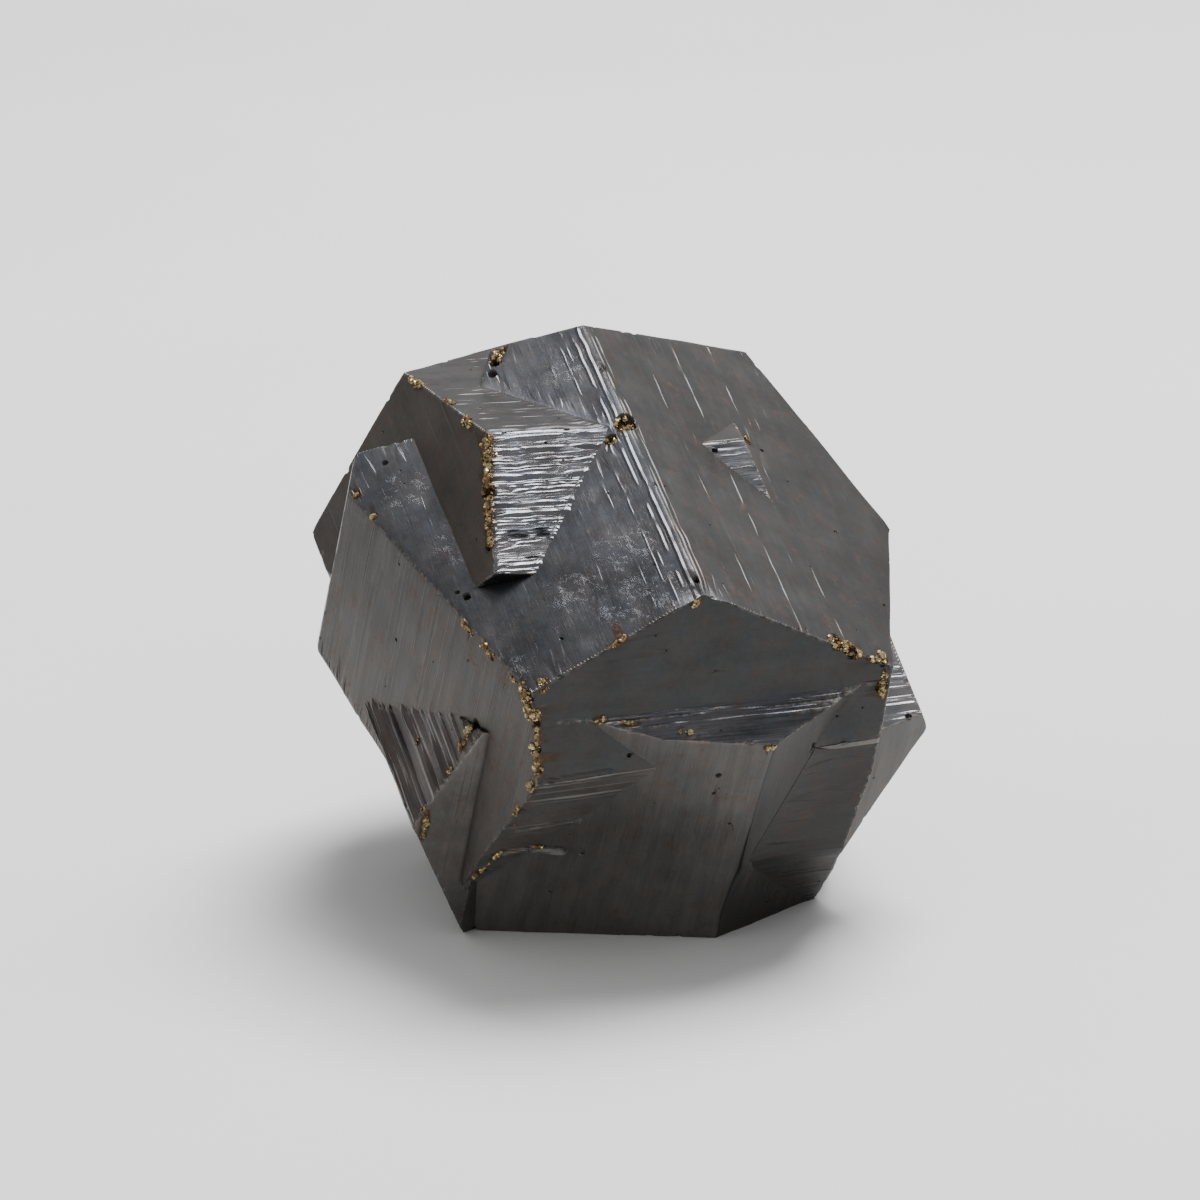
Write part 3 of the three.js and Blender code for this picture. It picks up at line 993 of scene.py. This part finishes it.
class Graph:
    """Short ways to build the nodes of one material."""

    def __init__(self, name):
        self.material = bpy.data.materials.new(name)
        self.material.use_nodes = True
        self.tree = self.material.node_tree
        self.shader = self.tree.nodes["Principled BSDF"]

    def look(self, name, value):
        """Sets an input of the shader."""
        self.set(self.shader.inputs[name], value)

    def bumped(self, strength, distance, height):
        """The finished material, with its bump."""
        bump = self.add("Bump", {"Strength": strength, "Distance": distance, "Height": height})
        self.look("Normal", bump.outputs["Normal"])
        return self.material

    def place(self):
        """Where a point is, in mm."""
        return self.scaled(self.add("TexCoord", {}).outputs["Object"], (1 / MM, 1 / MM, 1 / MM))

    def set(self, socket, value):
        if isinstance(value, bpy.types.NodeSocket):
            self.tree.links.new(value, socket)
        else:
            socket.default_value = value

    def add(self, kind, inputs, **settings):
        node = self.tree.nodes.new("ShaderNode" + kind)
        for name, value in settings.items():
            setattr(node, name, value)
        for key, value in inputs.items():
            self.set(node.inputs[key], value)
        return node

    def math(self, operation, a, b):
        return self.add("Math", {0: a, 1: b}, operation=operation).outputs[0]

    def times(self, a, b):
        return self.math("MULTIPLY", a, b)

    def plus(self, a, b):
        return self.math("ADD", a, b)

    def scaled(self, vector, factors):
        return self.add("VectorMath", {0: vector, 1: factors}, operation="MULTIPLY").outputs[0]

    def noise(self, vector, scale, detail=3.0, roughness=0.5):
        inputs = {"Vector": vector, "Scale": scale, "Detail": detail, "Roughness": roughness}
        return self.add("TexNoise", inputs).outputs["Fac"]

    def streaks(self, grain, along, across, detail, roughness):
        return self.noise(self.scaled(grain, (along, across, 1.0)), 1.0, detail, roughness)

    def ramp(self, value, low, high, start=0.0, end=1.0):
        inputs = {"Value": value, "From Min": low, "From Max": high, "To Min": start, "To Max": end}
        return self.add("MapRange", inputs, interpolation_type="SMOOTHSTEP").outputs["Result"]

    def mix(self, share, a, b, mode="MIX"):
        return self.add("Mix", {0: share, 6: a, 7: b}, data_type="RGBA", blend_type=mode).outputs[2]

    def tint(self, a, b):
        return self.mix(1.0, a, b, "MULTIPLY")


def patina(name):
    """Tarnished pyrite: lines along the ridges, clouds, rust, stains, dark blotches, painted shade in seams
    and hollows, painted shading by height, and wear with painted highlight on edges and crests.
    """
    finish = FINISHES[name]
    g = Graph("pyrite_" + name)
    grain = g.add("UVMap", {}, uv_map="grain").outputs["UV"]
    place = g.place()
    attribute = g.add("Attribute", {}, attribute_name="marks")
    marks = g.add("SeparateColor", {"Color": attribute.outputs["Color"]})
    worn, hollow, glinting = (marks.outputs[k] for k in ("Red", "Green", "Blue"))
    stained = attribute.outputs["Alpha"]

    fine = g.streaks(grain, 0.30, 9.0, 4.0, 0.6)
    broad = g.streaks(grain, 0.09, 1.1, 4.0, 0.6)
    clouds = g.noise(place, 0.30, 6.0, 0.62)
    mottle = g.noise(place, 2.6, 5.0, 0.7)
    specks = g.noise(place, 5.0, 5.0, 0.75)

    # Colour: tone, hue, painted shading by height, rust, painted shade in seams and hollows with dark
    # blotches, stains, and wear with painted highlight.
    tone = g.times(g.plus(fine, g.times(broad, 1.3)), finish.lines)
    tone = g.plus(tone, g.times(clouds, 2.0 * finish.clouds))
    tone = g.plus(tone, g.times(mottle, 0.7 * finish.clouds))
    middle = 1.15 * finish.lines + 1.35 * finish.clouds
    tone = g.ramp(tone, middle - 0.5, middle + 0.5)
    dark = tuple(0.40 * c for c in finish.colour) + (1,)
    light = tuple(1.70 * c for c in finish.colour) + (1,)
    colour = g.mix(tone, dark, light)
    hue = g.ramp(g.noise(place, 0.55, 5.0, 0.65), 0.36, 0.64)
    colour = g.tint(colour, g.mix(hue, WARM, COOL))
    # Painted shading: the colour is scaled with height.
    if finish.height_shading:
        start, end, share = finish.height_shading
        height_shading_ramp = g.ramp(g.add("SeparateXYZ", {"Vector": place}).outputs["Z"], start, end)
        colour = g.tint(colour, g.mix(height_shading_ramp, (1, 1, 1, 1), (share, share, share, 1)))
    rusty = g.ramp(g.noise(place, 0.70, 6.0, 0.7), 0.50, 0.66)
    streaks = g.ramp(g.streaks(grain, 0.16, 1.8, 5.0, 0.65), 0.52, 0.70)
    rust = g.times(g.math("MAXIMUM", rusty, streaks), g.ramp(mottle, 0.36, 0.62))
    rust = g.times(rust, finish.rust)
    deep = g.times(g.ramp(mottle, 0.42, 0.6), g.ramp(hollow, 0.4, 0.9, 0.0, 0.5))
    rust = g.math("MAXIMUM", rust, deep)
    colour = g.mix(rust, colour, RUST)
    # Painted shade in seams and hollows, and the dark blotches.
    colour = g.mix(g.times(g.ramp(hollow, 0.10, 0.80), 0.85), colour, DARK_SHADE_AND_STAIN)
    stain = g.ramp(g.times(stained, g.plus(mottle, 0.5)), 0.12, 0.50)
    amber = g.times(g.ramp(g.noise(place, 3.4, 4.0, 0.7), 0.40, 0.60), g.ramp(stained, 0.3, 0.7))
    brown = g.mix(amber, STAIN, AMBER)
    colour = g.mix(g.times(stain, 0.9), colour, brown)
    # Edges and crests lighter: wear and painted highlight.
    shine = g.times(g.times(worn, 0.45), g.ramp(mottle, 0.40, 0.66))
    colour = g.mix(shine, colour, EDGE_WEAR_AND_HIGHLIGHT)
    g.look("Base Color", colour)

    # Small glinting facets, in the marked patches and scattered thinly elsewhere.
    patches = g.times(g.ramp(g.noise(place, 0.7, 3.0, 0.6), 0.48, 0.66), finish.glint)
    clumps = g.ramp(g.noise(g.scaled(place, (1.0, 1.0, 2.2)), 1.1, 6.0, 0.75), 0.50, 0.70, 0.0, 0.55)
    clumps = g.times(clumps, g.ramp(glinting, 0.0, 0.5))
    patches = g.math("MAXIMUM", patches, clumps)
    uneven = g.times(g.math("SUBTRACT", fine, 0.5), 0.30 * finish.brush)
    uneven = g.plus(uneven, g.times(g.math("SUBTRACT", clouds, 0.5), 0.25))
    uneven = g.plus(uneven, g.times(rust, 0.25))
    uneven = g.math("SUBTRACT", uneven, g.times(patches, 0.08))
    g.look("Roughness", g.plus(uneven, finish.rough))
    g.look("Metallic", METAL)

    facets = g.add("TexVoronoi", {"Vector": g.scaled(grain, (2.0, 7.0, 1.0)), "Scale": 1.0})
    height = g.times(fine, finish.brush)
    steps = g.times(g.plus(specks, facets.outputs["Distance"]), g.times(patches, 0.9))
    height = g.plus(height, steps)
    height = g.plus(height, g.times(specks, 0.12))
    return g.bumped(0.75, 0.035 * MM, height)


def brass():
    """Fresh golden pyrite, stained brown in places."""
    g = Graph("pyrite_gold")
    place = g.place()
    stain = g.ramp(g.noise(place, 1.6, 4.0, 0.6), 0.40, 0.60)
    soiled = g.ramp(g.noise(place, 4.0, 3.0, 0.6), 0.45, 0.62)
    colour = g.mix(stain, (0.40, 0.33, 0.18, 1), (0.18, 0.105, 0.045, 1))
    colour = g.mix(g.times(soiled, 0.7), colour, (0.050, 0.034, 0.018, 1))
    g.look("Base Color", colour)
    g.look("Roughness", g.ramp(soiled, 0.0, 1.0, 0.30, 0.60))
    g.look("Metallic", 0.9)
    return g.bumped(0.4, 0.02 * MM, g.noise(place, 9.0, 3.0))


def paper():
    """The pale floor, a little uneven."""
    g = Graph("paper")
    place = g.add("TexCoord", {}).outputs["Object"]
    tone = g.ramp(g.noise(place, 9.0, 3.0), 0.3, 0.7)
    g.look("Base Color", g.mix(tone, (0.635, 0.635, 0.635, 1), (0.675, 0.675, 0.675, 1)))
    g.look("Roughness", 0.9)
    g.look("Specular IOR Level", 0.2)
    return g.bumped(0.25, 0.0004, g.noise(place, 60.0, 4.0))


# ---------------- golden grains


def pyritohedron():
    """Corners and triangles of a small crystal with twelve faces, about 1 in radius."""
    corners = [(x, y, z) for x in (-1, 1) for y in (-1, 1) for z in (-1, 1)]
    for s in (-1.5, 1.5):
        for t in (-0.75, 0.75):
            corners += [(0, s, t), (t, 0, s), (s, t, 0)]
    bm = bmesh.new()
    for c in corners:
        bm.verts.new(Vector(c) / 1.65)
    bmesh.ops.convex_hull(bm, input=bm.verts)
    bmesh.ops.triangulate(bm, faces=bm.faces)
    bm.verts.index_update()
    points = np.array([v.co for v in bm.verts])
    triangles = np.array([[v.index for v in f.verts] for f in bm.faces])
    bm.free()
    return points, triangles


def golden_grains(crystal, gold):
    """Small crystals, half sunk in the seams and the edges of the pits."""
    rng = np.random.default_rng(SEED + 2)
    shape, facets = pyritohedron()
    data = crystal.data
    polygons = [tuple(p.vertices) for p in data.polygons]
    tree = BVHTree.FromPolygons([v.co / MM for v in data.vertices], polygons)
    points, triangles = [], []
    for a, b, width, count in gold:
        a, b = np.array(a), np.array(b)
        for k in range(round(CROWD * count)):
            place = a + (b - a) * rng.random() + rng.normal(0, 0.42 * width, 3)
            near, normal = tree.find_nearest(Vector(place))[:2]
            size = 0.045 + 0.15 * rng.random() ** 2.5
            axes = np.linalg.qr(rng.normal(size=(3, 3)))[0]
            if np.linalg.det(axes) < 0:
                axes[0] *= -1
            grain = shape * rng.uniform(0.6, 1.35, 3) * (1 + rng.uniform(-0.08, 0.08, (len(shape), 1)))
            centre = np.array(near) + np.array(normal) * size * rng.uniform(-0.3, 0.4)
            triangles.append(facets + len(shape) * len(points))
            points.append(grain @ axes * size + centre)
    mesh = bpy.data.meshes.new("grains")
    mesh.from_pydata((np.concatenate(points) * MM).tolist(), [], np.concatenate(triangles).tolist())
    mesh.materials.append(brass())
    return new_object("golden_grains", mesh)


crystal, gold = build_crystal()
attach(crystal, "root")
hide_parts("twin_crystal")
grains = golden_grains(crystal, gold)
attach(grains, "root")

# ---------------- floor, light and camera


def softbox(name, direction, distance, size, power):
    """A square light that looks at the twin from a direction."""
    data = bpy.data.lights.new(name, "AREA")
    data.shape = "SQUARE"
    data.size = size
    data.energy = power
    obj = new_object(name, data)
    target = Vector(MIDDLE) * MM
    obj.location = target + Vector(direction).normalized() * distance
    obj.rotation_euler = (target - obj.location).to_track_quat("-Z", "Y").to_euler()


floor_data = bpy.data.meshes.new("floor")
floor_data.from_pydata([(-2, -2, 0), (2, -2, 0), (2, 3, 0), (-2, 3, 0)], [], [(0, 1, 2, 3)])
floor_data.materials.append(paper())
floor = new_object("floor", floor_data)
floor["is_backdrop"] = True

world = bpy.data.worlds.new("studio")
bpy.context.scene.world = world
world.use_nodes = True
background = world.node_tree.nodes["Background"].inputs
background["Color"].default_value = (1, 1, 1, 1)
background["Strength"].default_value = 0.70

softbox("overhead", direction=(0.22, 0.28, 0.93), distance=0.55, size=0.31, power=7.7)

camera_data = bpy.data.cameras.new("camera")
camera_data.sensor_width = 36
camera_data.lens = 170.1
camera_data.clip_start = 0.01
camera = new_object("camera", camera_data)
right = Vector((1, 0, -0.0079)).normalized()
look = Vector((-0.0025, 0.9492, -0.3147)).normalized()
camera_up = right.cross(look).normalized()
turn = Matrix((right, camera_up, -look)).transposed().to_4x4()
eye = Vector(MIDDLE + np.array([0.2, -342.88, 117.24])) * MM
camera.matrix_world = Matrix.Translation(eye) @ turn
bpy.context.scene.camera = camera

bpy.context.view_layer.update()
boxes = {"cad": cad_box, "visual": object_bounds()}
{k: [list(map(float, p)) for p in b] for k, b in boxes.items()}
